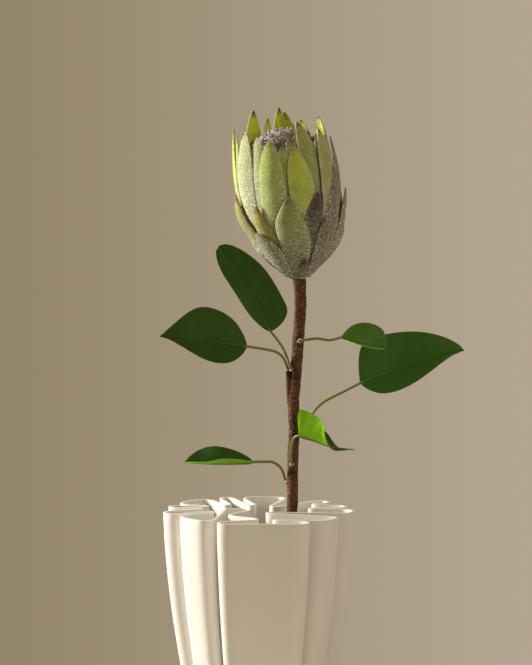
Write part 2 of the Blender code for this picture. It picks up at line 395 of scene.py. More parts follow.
def build_vase():
    obj, across, along = sheet("vase_body", len(ribbon), WALL_LEVELS)
    columns = np.round((across + 1) / 2 * len(ribbon)).astype(int) % len(ribbon)
    foot = VASE_WALL / 2
    heights = foot + (VASE_HEIGHT - foot) * along
    scale = vase_scale(heights / VASE_HEIGHT)
    bend_to(obj, np.column_stack([ribbon[columns] * scale[:, None], heights]))
    close_seam(obj, fill_ends=False)
    bpy.ops.object.mode_set(mode="EDIT")
    bpy.ops.mesh.select_mode(type="VERT")
    bpy.ops.mesh.select_all(action="DESELECT")
    bpy.ops.object.mode_set(mode="OBJECT")
    for vertex in obj.data.vertices:
        vertex.select = vertex.co.z < (foot + FOOT_REACH) * MM
    bpy.ops.object.mode_set(mode="EDIT")
    bpy.ops.mesh.edge_face_add()
    bpy.ops.mesh.quads_convert_to_tris(ngon_method="BEAUTY")
    bpy.ops.mesh.select_all(action="SELECT")
    bpy.ops.mesh.normals_make_consistent(inside=False)
    bpy.ops.object.mode_set(mode="OBJECT")
    add_modifier(obj, "SOLIDIFY", thickness=VASE_WALL * MM, offset=0.0, use_even_offset=True)
    add_modifier(obj, "BEVEL", width=RIM_ROUNDING * MM, segments=3, limit_method="ANGLE",
                 angle_limit=math.radians(50))
    smooth(obj, 40)
    wear(obj, ceramic)
    return obj


vase = build_vase()
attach(vase, "root")
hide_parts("vase")
print("vase faces:", len(vase.data.polygons))

# %% [markdown]
# ## Bark
# The stem is covered with thin red-brown bark that is crumbly at the scale of a millimetre: dark pits, rust
# patches and a few pale specks. Its colour comes from noise at two sizes, and its relief is partly real
# (moved vertices) and partly a bump.

# %% Bark material
PIT, BROWN, RED_BROWN = (0.024, 0.012, 0.008), (0.080, 0.032, 0.014), (0.150, 0.064, 0.024)
ORANGE, PALE_SPECK, FRESH_CUT = (0.33, 0.17, 0.07), (0.62, 0.5, 0.33), (0.42, 0.30, 0.17)


def build_bark():
    made, tree, shader, place = new_material("bark", roughness=0.8)
    shader.inputs["Specular IOR Level"].default_value = 0.3
    coarse = grain(tree, place, 620.0, detail=5.0, roughness=0.7)
    colour = ramp(tree, coarse.outputs["Fac"], (0.34, PIT), (0.46, BROWN), (0.56, RED_BROWN), (0.68, ORANGE))
    flakes = grain(tree, place, 420.0, "TexVoronoi")
    specks = ramp(tree, flakes.outputs["Distance"], (0.08, 1.0), (0.16, 0.0))
    patches = grain(tree, place, 70.0)
    where = ramp(tree, patches.outputs["Fac"], (0.55, 0.0), (0.68, 0.8))
    colour = mix_colour(tree, math_node(tree, "MULTIPLY", specks, where), colour, PALE_SPECK)
    dark = ramp(tree, patches.outputs["Fac"], (0.34, (0.35, 0.3, 0.3)), (0.5, (1.0, 1.0, 1.0)))
    tree.links.new(mix_colour(tree, 1.0, colour, dark, "MULTIPLY"), shader.inputs["Base Color"])
    bump(tree, shader, coarse.outputs["Fac"], 0.0012, 0.8)
    return made


def build_cut_bark():
    made, tree, shader, place = new_material("cut_bark", roughness=0.8)
    drift = place_group(tree, drift_group, Place=place.outputs["Object"], Color=FRESH_CUT, Size=500.0,
                        Strength=0.6)
    tree.links.new(drift.outputs["Color"], shader.inputs["Base Color"])
    return made


bark, cut_bark = build_bark(), build_cut_bark()
print("made", bark.name, cut_bark.name)

# %% [markdown]
# ## Stem
# A stem is a sheet rolled round a path. The path has a slight bow and knots where the leaves leave it. After
# rolling, the vertices are pushed in and out by noise, so the outline itself is rough, as bark is.

# %% Stem
# Height, x, y and radius at a few places up the stem.
STEM = (
    (4.3, 12, 2, 4.2), (60, 15.6, 1, 4.2), (125, 20.4, 0, 4.2), (190, 25.1, -1, 4.1),
    (226, 25.7, -1, 4.2), (249, 26.8, -1, 4.2), (273, 26.2, -1, 4.5), (284, 27.2, -1, 4.3),
    (307, 29, -1, 4.4), (341, 31.2, -1, 4.5), (356, 31, -0.5, 4.6), (364.6, 30.6, 0, 5.0),
)


def roll_tube(name, centres, radii, sides, reference=(0, -1, 0)):
    """A closed tube along a path, rolled from a sheet. The seam faces away from the reference side."""
    obj, across, along = sheet(name, sides, len(centres) - 1)
    rows = np.round(along * (len(centres) - 1)).astype(int)
    ahead = unit(np.gradient(centres, axis=0))
    side = unit(np.cross(ahead, np.array(reference, float)))
    up = np.cross(side, ahead)
    turns = (across + 1) * math.pi - math.pi / 2
    spoke = np.cos(turns)[:, None] * side[rows] + np.sin(turns)[:, None] * up[rows]
    bend_to(obj, centres[rows] + np.asarray(radii)[rows][:, None] * spoke)
    close_seam(obj)
    return obj


def roughen(obj, *waves):
    """Push vertices along their normals. Each wave is (feature size, height), in millimetres."""
    places = np.array([vertex.co for vertex in obj.data.vertices]) / MM
    normals = np.array([vertex.normal for vertex in obj.data.vertices])
    push = sum(height * ripple(places, size, seed) for seed, (size, height) in enumerate(waves))
    bend_to(obj, places + normals * push[:, None])


# The stub of a side twig that lies along the stem: x, y, height, radius.
TWIG = ((25.6, -1.5, 258, 1.2), (23.4, -1.8, 272, 2.0), (22.4, -2.0, 286, 1.8), (22.2, -2.2, 295.4, 1.7))
STEM_ROWS, STEM_SIDES = 300, 48
TWIG_ROWS, TWIG_SIDES = 60, 20
BARK_WAVES = ((9.0, 0.25), (3.0, 0.3), (1.3, 0.28))


def build_stem():
    guide = np.array([(x, y, height, radius) for height, x, y, radius in STEM])
    path = curve_through(guide, STEM_ROWS)
    obj = roll_tube("stem_bark", path[:, :3], path[:, 3], STEM_SIDES)
    twig_path = curve_through(TWIG, TWIG_ROWS)
    twig = roll_tube("twig", twig_path[:, :3], twig_path[:, 3], TWIG_SIDES)
    pick(obj, twig)
    bpy.ops.object.join()
    roughen(obj, *BARK_WAVES)
    smooth(obj, 60)
    wear(obj, bark)
    return obj


stem = build_stem()
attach(stem, "root")
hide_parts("stem")
print("stem faces:", len(stem.data.polygons))

# %% [markdown]
# ## Leaf finishes
# The upper face of a leaf is dark and has a dull wax shine; the lower face is paler and yellower, and on the
# front, low and small leaves it is made brighter still with painted light. Veins run from the midrib toward
# the edge. They follow the blade, so they are drawn with its own UV map, where u runs across and v along.


# %% Leaf materials
def vein_mask(tree, place, count, slant):
    """Bright on the midrib and on slanting side veins, from the blade's UV map."""
    parts = add(tree, "SeparateXYZ")
    tree.links.new(place.outputs["UV"], parts.inputs[0])
    off_rib = math_node(tree, "ABSOLUTE", math_node(tree, "SUBTRACT", parts.outputs[0], 0.5))
    rib = ramp(tree, off_rib, (0.0, 1.0), (0.025, 0.0))
    shifted = math_node(tree, "SUBTRACT", parts.outputs[1], math_node(tree, "MULTIPLY", off_rib, slant))
    teeth = math_node(tree, "PINGPONG", math_node(tree, "MULTIPLY", shifted, count), 1.0)
    side_veins = ramp(tree, teeth, (0.0, 0.7), (0.14, 0.0))
    return math_node(tree, "MAXIMUM", rib, side_veins)


VEIN_COUNT, VEIN_SLANT = 16.0, 0.5


def build_leaf_face(name, colour, vein_colour, vein_strength, roughness):
    made, tree, shader, place = new_material(name, roughness=roughness)
    shader.inputs["Specular IOR Level"].default_value = 0.22
    drift = place_group(tree, drift_group, Place=place.outputs["Object"], Color=colour, Size=45.0,
                        Strength=0.28)
    veins = vein_mask(tree, place, VEIN_COUNT, VEIN_SLANT)
    factor = math_node(tree, "MULTIPLY", veins, vein_strength)
    tree.links.new(mix_colour(tree, factor, drift.outputs["Color"], vein_colour), shader.inputs["Base Color"])
    skin = grain(tree, place, 700.0, detail=2.0)
    sheen = ramp(tree, skin.outputs["Fac"], (0.3, roughness - 0.06), (0.7, roughness + 0.08))
    tree.links.new(sheen, shader.inputs["Roughness"])
    relief = math_node(tree, "SUBTRACT", math_node(tree, "MULTIPLY", skin.outputs["Fac"], 0.3), veins)
    bump(tree, shader, relief, 0.0003, 0.5)
    return made


def build_stalk():
    made, tree, shader, place = new_material("leaf_stalk", roughness=0.5)
    drift = place_group(tree, drift_group, Place=place.outputs["Object"], Color=(0.16, 0.18, 0.04), Size=60.0,
                        Strength=0.4)
    rusty = ramp(tree, drift.outputs["Mask"], (0.52, 0.0), (0.7, 0.6))
    colour = mix_colour(tree, rusty, drift.outputs["Color"], (0.22, 0.08, 0.03))
    tree.links.new(colour, shader.inputs["Base Color"])
    return made


leaf_top = build_leaf_face("leaf_upper", (0.027, 0.080, 0.004), (0.05, 0.13, 0.018), 0.10, 0.5)
leaf_open = build_leaf_face("leaf_upper_open", (0.042, 0.125, 0.010), (0.07, 0.17, 0.03), 0.12, 0.5)
leaf_mid = build_leaf_face("leaf_upper_pale", (0.075, 0.17, 0.022), (0.2, 0.32, 0.06), 0.22, 0.45)
leaf_under = build_leaf_face("leaf_lower", (0.10, 0.19, 0.03), (0.2, 0.28, 0.07), 0.3, 0.55)
# A lit copy of the lower face: partly the leaf's paler yellow-green, partly painted light, much brighter than
# the plain lower face (leaf_under) to stand in for lamp light falling on it.
leaf_lower_lit = build_leaf_face("leaf_lower_painted_light", (0.22, 0.52, 0.010), (0.10, 0.28, 0.01), 0.45, 0.5)
stalk_skin = build_stalk()
print("made", [made.name for made in (leaf_top, leaf_open, leaf_mid, leaf_under, leaf_lower_lit, stalk_skin)])

# %% [markdown]
# ## Leaves
# Each leaf is two sheets: a wide one for the blade and a rolled one for the stalk, which carries on under the
# blade as its midrib. The blade follows a curved spine. Its outline is a rule, narrow at both ends, and its
# two halves differ in width, in where they are widest and in how far they fold up from the midrib. Solidify
# gives the blade its thin body and puts the second finish on the lower face, so both finishes have to be on
# the sheet before it is thickened.

# %% Leaf shapes
# For each leaf: the angle and height at which it leaves the stem, the paths of its stalk and its spine, and
# which way its face looks. Then, in pairs for its two halves, its width, its fold in degrees, how far it
# sweeps back, where it is widest and how fast it closes to its tip. Last, the share of the fold left at the
# tip.
LEAVES = {
    "leaf_tall": dict(
        foot=(-55, 297), petiole=((21.6, -4, 305), (19, -5, 311.5), (14.5, -5, 318.5)),
        spine=((9, -5, 325.5), (1.6, -4, 340.1), (-8.7, -2, 360.5), (-19.1, 1, 375.8), (-29.2, 4, 389.5)),
        face=(0.2, -1, 0.25), widths=(19.5, 12), folds=(12, 8), sweeps=(0.3, 0.05), widest=(0.27, 0.6),
        point=(0.55, 0.42), relax=1),
    "leaf_left": dict(
        foot=(-105, 294), petiole=((18.6, -2, 305), (13, -4, 310), (2.7, -7, 312.6)),
        spine=((-8.8, -9, 314.6), (-22, -11, 316.6), (-39, -12, 318.4), (-56, -13, 320.3),
               (-73.3, -13, 322.6)),
        face=(-0.1, -1, 0.35), widths=(26, 16.5), folds=(8, 12), sweeps=(0.0, 0.1), widest=(0.54, 0.36),
        point=(1.05, 1.8), relax=1),
    "leaf_low": dict(
        foot=(-110, 211), petiole=((17, -4, 222), (11, -7, 227), (4, -9, 227.8)),
        spine=((-4.1, -11, 227.8), (-17, -13, 227.4), (-32, -15, 227.2), (-44, -17, 227.8),
               (-55, -19, 228.9)),
        face=(0, -0.1, 1), widths=(17, 12), folds=(42, 31), sweeps=(0.05, 0.05), widest=(0.6, 0.55),
        point=(0.9, 0.8), relax=0.7),
    "leaf_small": dict(
        foot=(12, 318), petiole=((34.5, -9, 319.5), (44, -13, 320.8), (53, -17, 320)),
        spine=((61.5, -21, 322.4), (70, -24, 320.8), (81, -28, 318), (88.5, -30, 316.4), (94, -31, 315.4)),
        face=(0, -0.1, 1), widths=(11, 16), folds=(3, 62), sweeps=(0.05, 0.05), widest=(0.5, 0.45),
        point=(0.4, 0.4), relax=1),
    "leaf_large": dict(
        foot=(84, 247), petiole=((37.5, 1, 254), (41.2, 2, 263.5), (49, 4, 271.3), (62, 6, 278)),
        spine=((76.8, 8, 285.4), (89, 9, 290.3), (106, 9, 296.4), (123.5, 7, 302.4), (139.5, 4, 307.2),
               (154.1, 0, 311)),
        face=(0.1, -1, 0.25), widths=(16, 28.5), folds=(8, 10), sweeps=(0.1, -0.05), widest=(0.34, 0.24),
        point=(1.7, 0.72), relax=1),
    "leaf_front": dict(
        foot=(-10, 225.4), petiole=((24.4, -10, 233), (25.2, -12, 241.4), (27, -14, 246.6)),
        spine=((30.4, -17, 248.6), (41.5, -20, 245.6), (52, -24, 242), (62, -28, 240.6), (71.2, -30, 239.8)),
        face=(0, 0.1, 1), widths=(20.5, 13), folds=(72, 58), sweeps=(0.45, 0.3), widest=(0.12, 0.1),
        point=(1.6, 2.2), relax=-0.3),
}
BLADE_THICK, STALK_RADIUS, STALK_GAP = 0.55, 1.0, 0.2
BLADE_COLUMNS, BLADE_ROWS = 26, 44
STALK_ROWS, STALK_SIDES, COLLAR_SIDES = 48, 12, 14
GROOVE_DEPTH, GROOVE_WIDTH = 0.4, 0.05
WAVE_SIZE, WAVE_HEIGHT = 22.0, 0.9
PLEATS, PLEAT_SLANT, PLEAT_HEIGHT = 14, 0.16, 0.1
MIDRIB_START, MIDRIB_ROWS = 3, 30
COLLAR_RADII = (1.9, 1.95, 1.9, 1.8, 1.5)


def blade_width(share, widest, point):
    """Half-width of a blade along its length, against its widest."""
    rise = 0.04 + 0.96 * np.sin(np.pi / 2 * np.clip(share / widest, 0, 1)) ** 0.75
    fall = 0.02 + 0.98 * np.cos(np.pi / 2 * np.clip((share - widest) / (1 - widest), 0, 1)) ** point
    return np.where(share < widest, rise, fall)


def left_of_fold(share, relax):
    """Share of the folds that is left at a place along the blade."""
    opening = np.clip((share - 0.4) / 0.35, 0, 1)
    return 1 - (1 - relax) * opening**2 * (3 - 2 * opening)


def stem_at(height):
    heights, xs, ys, radii = zip(*STEM)
    return [float(np.interp(height, heights, values)) for values in (xs, ys, radii)]


def build_blade(name, rib, shape, finishes):
    obj, across, along = sheet(name, BLADE_COLUMNS, len(rib) - 1)
    wear(obj, *finishes)
    rows = np.round(along * (len(rib) - 1)).astype(int)
    ahead = unit(np.gradient(rib, axis=0))
    side = unit(np.cross(ahead, np.array(shape["face"], float)))
    up = np.cross(side, ahead)
    half, fold, sweep, widest, point = (
        np.where(across > 0, *shape[key]) for key in ("widths", "folds", "sweeps", "widest", "point"))
    reach = np.abs(across) * half * blade_width(along, widest, point)
    tilt = np.radians(fold) * left_of_fold(along, shape["relax"])
    rise = reach * np.sin(tilt) - GROOVE_DEPTH * np.exp(-(across / GROOVE_WIDTH) ** 2)
    back = reach * sweep * (1 - along)
    outward = np.sign(across)[:, None] * side[rows]
    flat = rib[rows] + outward * (reach * np.cos(tilt))[:, None]
    places = flat + up[rows] * rise[:, None] - ahead[rows] * back[:, None]
    normal = up[rows] * np.cos(tilt)[:, None] - outward * np.sin(tilt)[:, None]
    wave = ripple(places, WAVE_SIZE, len(name)) * across**2 * WAVE_HEIGHT
    pleat = np.sin((along - np.abs(across) * PLEAT_SLANT) * math.pi * PLEATS) * PLEAT_HEIGHT * np.abs(across)
    bend_to(obj, places + normal * (wave + pleat)[:, None])
    add_modifier(obj, "SOLIDIFY", thickness=BLADE_THICK * MM, offset=-1.0, material_offset=1,
                 material_offset_rim=1)
    return obj, up


def build_leaf(name, piece_name, shape, finishes):
    azimuth, height = math.radians(shape["foot"][0]), shape["foot"][1]
    x, y, radius = stem_at(height)
    outward = np.array((math.sin(azimuth), -math.cos(azimuth), 0))
    start = np.array((x, y, height)) + outward * (radius - STALK_GAP)
    rib = curve_through(shape["spine"], BLADE_ROWS)
    blade, up = build_blade(piece_name, rib, shape, finishes)
    lift = start + outward * 1.6 + np.array((0, 0, 1.6))
    stalk = curve_through([start, lift, *shape["petiole"], rib[0]], STALK_ROWS)
    rib_radii = np.linspace(0.75, 0.15, MIDRIB_ROWS)
    midrib = slice(MIDRIB_START, MIDRIB_START + MIDRIB_ROWS)
    under = rib[midrib] - up[midrib] * (BLADE_THICK + rib_radii * 0.6)[:, None]
    stalk_radii = STALK_RADIUS * (1 + 0.7 * np.exp(-np.linspace(0, 22, STALK_ROWS)))
    tube = roll_tube(name + "_stalk", np.vstack([stalk, under]), np.concatenate([stalk_radii, rib_radii]),
                     STALK_SIDES, shape["face"])
    collar = roll_tube(name + "_collar", stalk[:len(COLLAR_RADII)], COLLAR_RADII, COLLAR_SIDES, (0.3, 0.2, 1))
    wear(tube, stalk_skin)
    wear(collar, cut_bark)
    pick(blade, tube, collar)
    bpy.ops.object.join()
    smooth(blade, 60)
    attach(blade, "root")
    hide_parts(name)
    return blade


# The front, low and small leaves wear the lower face that is brightened with painted light.
LEAF_FINISHES = {
    "leaf_tall": ("tall_leaf", [leaf_top, leaf_under]),
    "leaf_left": ("left_leaf", [leaf_top, leaf_under]),
    "leaf_low": ("low_leaf", [leaf_top, leaf_lower_lit]),
    "leaf_small": ("small_leaf", [leaf_mid, leaf_lower_lit]),
    "leaf_large": ("large_leaf", [leaf_open, leaf_under]),
    "leaf_front": ("front_leaf", [leaf_top, leaf_lower_lit]),
}
leaves = []
for name, (piece_name, finishes) in LEAF_FINISHES.items():
    leaves.append(build_leaf(name, piece_name, LEAVES[name], finishes))
print("leaves:", [leaf.name for leaf in leaves])

# %% [markdown]
# ## Bract finishes
# Bracts are the coloured leaves round a protea head. These are felted: a green skin under short pale hairs,
# thick at the edges, with a bare maroon or pink tip. The finish reads the bract's own UV map, so the tip, the
# edges and the base of every bract get their own colour however the bract is turned.


# %% Bract materials
def build_bract_finish(name, base, body, tip, edge, hair, amount, tip_start):
    made, tree, shader, place = new_material(name, roughness=0.9)
    shader.inputs["Specular IOR Level"].default_value = 0.15
    shader.inputs["Sheen Weight"].default_value = 0.3
    shader.inputs["Sheen Roughness"].default_value = 0.5
    shader.inputs["Subsurface Weight"].default_value = 0.1
    shader.inputs["Subsurface Scale"].default_value = 0.003
    parts = add(tree, "SeparateXYZ")
    tree.links.new(place.outputs["UV"], parts.inputs[0])
    wander = grain(tree, place, 170.0, detail=4.0)
    centred = math_node(tree, "SUBTRACT", wander.outputs["Fac"], 0.5)
    along = math_node(tree, "ADD", parts.outputs[1], math_node(tree, "MULTIPLY", centred, 0.2))
    skin = ramp(tree, along, (0.12, base), (0.5, body), (tip_start - 0.05, body), (tip_start + 0.02, tip))
    off_rib = math_node(tree, "ABSOLUTE", math_node(tree, "SUBTRACT", parts.outputs[0], 0.5))
    toward_edge = math_node(tree, "MULTIPLY", off_rib, 2.0)
    ragged = math_node(tree, "ADD", toward_edge, math_node(tree, "MULTIPLY", centred, 0.5))
    rim = ramp(tree, ragged, (0.62, 0.0), (1.0, 1.0))
    skin = mix_colour(tree, math_node(tree, "MULTIPLY", rim, 0.7), skin, edge)
    drift = place_group(tree, drift_group, Place=place.outputs["Object"], Color=skin, Size=75.0, Strength=0.5)
    cover = math_node(tree, "ADD", ramp(tree, along, (0.25, amount + 0.3), (0.8, amount)),
                      math_node(tree, "MULTIPLY", rim, 0.35))
    velvet = place_group(tree, velvet_group, Place=place.outputs["Object"], Green=drift.outputs["Color"],
                         Hair=hair, Amount=cover, Grain=FELT_GRAIN)
    tree.links.new(velvet.outputs["Color"], shader.inputs["Base Color"])
    bump(tree, shader, velvet.outputs["Height"], 0.0012, 0.8)
    return made


FELT_GRAIN = 780.0
PINK, DUSK, MAROON, RUST = (0.30, 0.11, 0.10), (0.15, 0.07, 0.07), (0.075, 0.02, 0.018), (0.20, 0.065, 0.02)
PALE_HAIR, GREY_HAIR, WARM_HAIR = (0.80, 0.80, 0.60), (0.74, 0.71, 0.60), (0.56, 0.46, 0.34)
# The colours of base, body, tip, edge and hair, how much hair there is, and where along the bract its tip
# starts.
BRACT_LOOKS = {
    "fresh": ((0.15, 0.20, 0.04), (0.33, 0.43, 0.035), PINK, (0.42, 0.46, 0.15), PALE_HAIR, 0.22, 0.95),
    "bright": ((0.20, 0.25, 0.04), (0.42, 0.53, 0.03), PINK, (0.44, 0.50, 0.12), PALE_HAIR, 0.10, 0.96),
    "pale": ((0.28, 0.33, 0.10), (0.36, 0.42, 0.14), PINK, (0.52, 0.52, 0.30), PALE_HAIR, 0.5, 0.95),
    "olive": ((0.13, 0.14, 0.03), (0.29, 0.33, 0.065), DUSK, (0.50, 0.48, 0.28), PALE_HAIR, 0.16, 0.95),
    "grey": ((0.085, 0.09, 0.035), (0.13, 0.16, 0.035), DUSK, (0.15, 0.12, 0.06), GREY_HAIR, 0.34, 0.92),
    "mauve": ((0.085, 0.10, 0.03), (0.19, 0.25, 0.03), DUSK, (0.24, 0.26, 0.09), PALE_HAIR, 0.2, 0.87),
    "rusty": ((0.15, 0.08, 0.03), (0.29, 0.31, 0.04), RUST, RUST, WARM_HAIR, 0.14, 0.86),
    "brown": ((0.08, 0.075, 0.035), (0.11, 0.10, 0.04), DUSK, (0.08, 0.05, 0.03), GREY_HAIR, 0.26, 0.88),
    "dark": ((0.07, 0.06, 0.03), (0.045, 0.028, 0.018), MAROON, (0.025, 0.013, 0.01), GREY_HAIR, 0.1, 0.8),
    # inner: the colour of every bract's inner face, partly the bract's real yellow-green and partly painted
    # light, made brighter to stand in for light shining through the bract from behind.
    "inner": ((0.20, 0.26, 0.02), (0.50, 0.66, 0.012), MAROON, (0.52, 0.64, 0.06), PALE_HAIR, 0.04, 0.96),
}
BRACT_FINISHES = {name: build_bract_finish("bract_" + name, *look) for name, look in BRACT_LOOKS.items()}
print("bract finishes:", list(BRACT_FINISHES))

# %% [markdown]
# ## The flower head
# The head is an egg of layered bracts on a tilted axis. Seven layers sit one inside another, each a little
# nearer the axis, and the short ones are outside. Fifty bracts modelled by hand would be slow to change, so
# one rule shapes them all, and only the place, size, lean and finish of each differ. The whole head can then
# be read from one table.

# %% Bract table
HEAD_BASE = np.array((30.5, 0, 366.0))
HEAD_TILT = math.radians(-7.1)
HEAD_BOW, HEAD_BOW_HEIGHT = 2.6, 45
HEAD_HEIGHTS = (0, 8, 16, 28, 40, 51, 62, 80, 105, 132)
HEAD_RADII = (9.5, 19, 26.5, 33.6, 39, 42.3, 43.6, 44, 42.6, 39)
LAYER_STEP = 1.9
# Each layer from the outside in: angle round the head, tip height, half-width, sideways lean in degrees,
# outward lean in millimetres, finish.
LAYERS = (
    ((-98, 36, 14.5, 0, 0, "grey"), (-48.5, 38, 15, -1, 0.8, "grey"), (9, 14, 8, 0, 0.3, "dark"),
     (42, 42, 12.5, -4, 0.6, "brown"), (101, 38, 15, 0, 0.5, "grey"), (162, 36, 15, 4, 0.5, "mauve"),
     (-150, 37, 15, 0, 0.5, "grey")),
    ((-75, 68, 11, 0, 0.6, "rusty"), (-5, 62, 13.5, 4, 0.4, "mauve"), (88, 62, 10, 2, 2.0, "grey"),
     (128, 60, 13, 0, 1, "mauve"), (-176, 62, 13, 0, 0.5, "grey"), (-118, 60, 13, 3, 1, "rusty")),
    ((-89, 68, 11, 0, 0, "grey"), (-44, 58, 9.5, 3, 0.8, "rusty"), (26, 63, 10.5, 6, 1.2, "dark"),
     (61, 80, 10.5, 3, 0.3, "brown"), (104, 66, 12, 0, 0.6, "grey"), (155, 68, 12, 0, 0, "grey"),
     (-147, 66, 12, 0, 0.5, "mauve")),
    ((-61, 113, 12, 8, -2, "pale"), (-20, 105, 11.3, 4, -1, "fresh"), (17.5, 96.5, 11.2, -6, 0, "bright"),
     (56, 109, 9.6, -2, -1.5, "olive"), (88.5, 102, 10.5, 0, 0, "brown"), (128, 104, 11, 0, 0, "pale"),
     (172, 100, 11, 0, 0, "pale"), (-138, 104, 11, 0, 0, "pale"), (-94, 116, 9.8, 0, 0.5, "bright")),
    ((-38, 108, 10, 3, -2, "pale"), (21, 103, 10.5, -14, -3, "olive"), (68, 104, 11, 0, 0, "olive"),
     (115, 118, 11, 0, 0, "fresh"), (166, 124, 10, 6, -1, "pale"), (-140, 128, 10.5, -3, 1, "fresh"),
     (-85, 110, 11, 0, 0, "fresh")),
    ((-60, 108, 10, 0, -1, "pale"), (-2, 99, 10, 0, -1, "fresh"), (40, 116, 10.5, -15, -2, "olive"),
     (90, 110, 10.5, 0, 0, "olive"), (145, 117, 9.5, 2, -1, "pale"), (-177, 128, 9.5, -4, -1, "pale"),
     (-112, 112, 10.5, 0, 0, "fresh")),
    ((-157, 121, 7.4, -4, -1, "olive"), (180, 114, 6.6, 0, -3, "pale"), (158, 114, 6.6, 0, -3, "pale"),
     (-108, 108, 8.5, 0, -1, "fresh"), (112, 110, 8.5, 0, -1, "pale"), (62, 106, 8.5, 0, -2, "olive"),
     (-66, 100, 8, 0, -2, "pale")),
)
print("bracts:", sum(len(row) for row in LAYERS))

# %% [markdown]
# ## One bract
# A bract is a stiff, slightly cupped leaf that hugs the head. It could be sculpted, but a sheet bent by a
# rule is exact: it follows the egg, bulges across, narrows to a pointed tip, and leans in or out at the end.
# A little noise keeps two neighbours from looking alike, and Solidify and Subdivision Surface give it its
# thickness and soft edges.


# %% Bract shape
def on_head(angle, radius, height):
    """Places in the row frame from angle, distance from the axis and height along it."""
    sideways = HEAD_BOW * np.sin(math.pi * np.clip(np.asarray(height) / HEAD_BOW_HEIGHT, 0, 1))
    x, y = radius * np.sin(angle) + sideways, -radius * np.cos(angle)
    tilt_cos, tilt_sin = math.cos(HEAD_TILT), math.sin(HEAD_TILT)
    leaned = [x * tilt_cos + height * tilt_sin, y, height * tilt_cos - x * tilt_sin]
    return HEAD_BASE + np.column_stack(leaned)


def head_radius(height):
    """The egg's radius: the table's values, eased into one another."""
    shifts = (-4, -2, 0, 2, 4)
    radii = [np.interp(np.clip(height + shift, 0, 140), HEAD_HEIGHTS, HEAD_RADII) for shift in shifts]
    return sum(radii) / len(shifts)


def bract_width(share, power):
    """Half-width of a bract along its length, against its widest: broad, then closing to a small nib."""
    return (1 - share**power) ** 0.85 * (0.85 + 0.15 * np.minimum(share / 0.5, 1)) + 0.05 * share**power


BRACT_THICK, BRACT_BULGE = 1.0, 2.2
BRACT_COLUMNS, BRACT_ROWS = 14, 30
# For each layer: how late its bracts close toward their tips, how far their edges lift or sink in
# millimetres, and how much wider they are at the foot than their width says.
LAYER_POWERS = (3.4, 3.4, 3.6, 6.5, 7, 7, 7)
RIM_LIFTS = (-1.0, -0.7, -0.6, 0.3, 0.3, 0.3, 0.3)
LOWER_SPREAD = (1.22, 1.4, 1.3, 1.0, 1.0, 1.0, 1.0)


def build_bract(layer, i, azimuth, tip, half_width, lean, splay, finish):
    name = f"bract_{layer}_{i}"
    obj, across, along = sheet("felt_" + name, BRACT_COLUMNS, BRACT_ROWS)
    base = 1 + 2.2 * layer
    share = 1 - (1 - along) ** 1.25
    height = base + (tip - base) * share
    radius = head_radius(height) - layer * LAYER_STEP
    seed = layer * 3.7 + i * 1.3
    reach = half_width * bract_width(share, LAYER_POWERS[layer]) / np.maximum(radius, 38)
    reach *= 1 + (LOWER_SPREAD[layer] - 1) * (1 - share)
    angle = np.radians(azimuth + lean * share**3) + reach * across
    bulge = BRACT_BULGE * (1 - across**2) * np.sin(np.pi * share**1.6)
    rim = RIM_LIFTS[layer] * across**4 * np.clip((1 - share) * 8, 0, 1)
    radius = radius - 0.8 + bulge + rim + splay * share**3
    places = on_head(angle, radius, height)
    uneven = ripple(places, 14.0, seed) * 0.5 + ripple(places, 4.0, seed) * 0.2
    angle = angle + uneven * 0.014 * np.abs(across)
    radius = radius + uneven * (0.35 + across**2 * 0.5)
    bend_to(obj, on_head(angle, radius, height))
    # The second finish is the inner face, whose colour carries painted light shining through the bract.
    wear(obj, BRACT_FINISHES[finish], BRACT_FINISHES["inner"])
    add_modifier(obj, "SOLIDIFY", thickness=BRACT_THICK * MM, offset=-1.0, material_offset=1)
    add_modifier(obj, "SUBSURF", levels=1, render_levels=1)
    smooth(obj, 80)
    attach(obj, "root")
    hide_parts(name)
    return obj


print("bract sheet:", BRACT_COLUMNS, "by", BRACT_ROWS)

# %% [markdown]
# The table is walked from the outside in, and every bract becomes a piece of its own, because on the real
# head each can be pulled off by itself.

# %% Bracts
bracts = []
for layer, row in enumerate(LAYERS):
    for i, numbers in enumerate(row):
        bracts.append(build_bract(layer, i, *numbers))
print("bract faces:", sum(len(bract.data.polygons) for bract in bracts))

# %% [markdown]
# ## Felt of the core and the styles
# Both are covered with short hairs, greenish grey on the core and mauve-grey on the styles. The velvet group
# of the bracts is used again, with the drift group after it, so the tuft is not one even grey.


# %% Core and styles materials
def build_felt(name, dark, light, hair_grain):
    made, tree, shader, place = new_material(name, roughness=0.95)
    shader.inputs["Specular IOR Level"].default_value = 0.1
    shader.inputs["Sheen Weight"].default_value = 0.3
    velvet = place_group(tree, velvet_group, Place=place.outputs["Object"], Green=dark, Hair=light,
                         Amount=0.6, Grain=hair_grain)
    drift = place_group(tree, drift_group, Place=place.outputs["Object"], Color=velvet.outputs["Color"],
                        Size=160.0, Strength=0.6)
    tree.links.new(drift.outputs["Color"], shader.inputs["Base Color"])
    bump(tree, shader, velvet.outputs["Height"], 0.0006, 0.7)
    return made


core_felt = build_felt("core_felt", (0.2, 0.19, 0.12), (0.5, 0.48, 0.38), 1200.0)
style_felt = build_felt("style_felt", (0.17, 0.11, 0.10), (0.70, 0.62, 0.58), 700.0)
print("made", core_felt.name, style_felt.name)

# %% [markdown]
# ## Core
# The core is the woody, felted receptacle that the bracts grow from, hidden but for its lowest edge. It is
# round, so a profile of heights and radii is enough, rolled round the tilted axis of the head.

# %% Core
CORE = (
    (-0.9, 5.2), (0.2, 8.4), (3, 9.6), (6, 10.4), (10, 11.1),
    (14, 11.8), (18, 13.2), (30, 17), (50, 19), (60, 18),
)
EGG_ROWS = 40


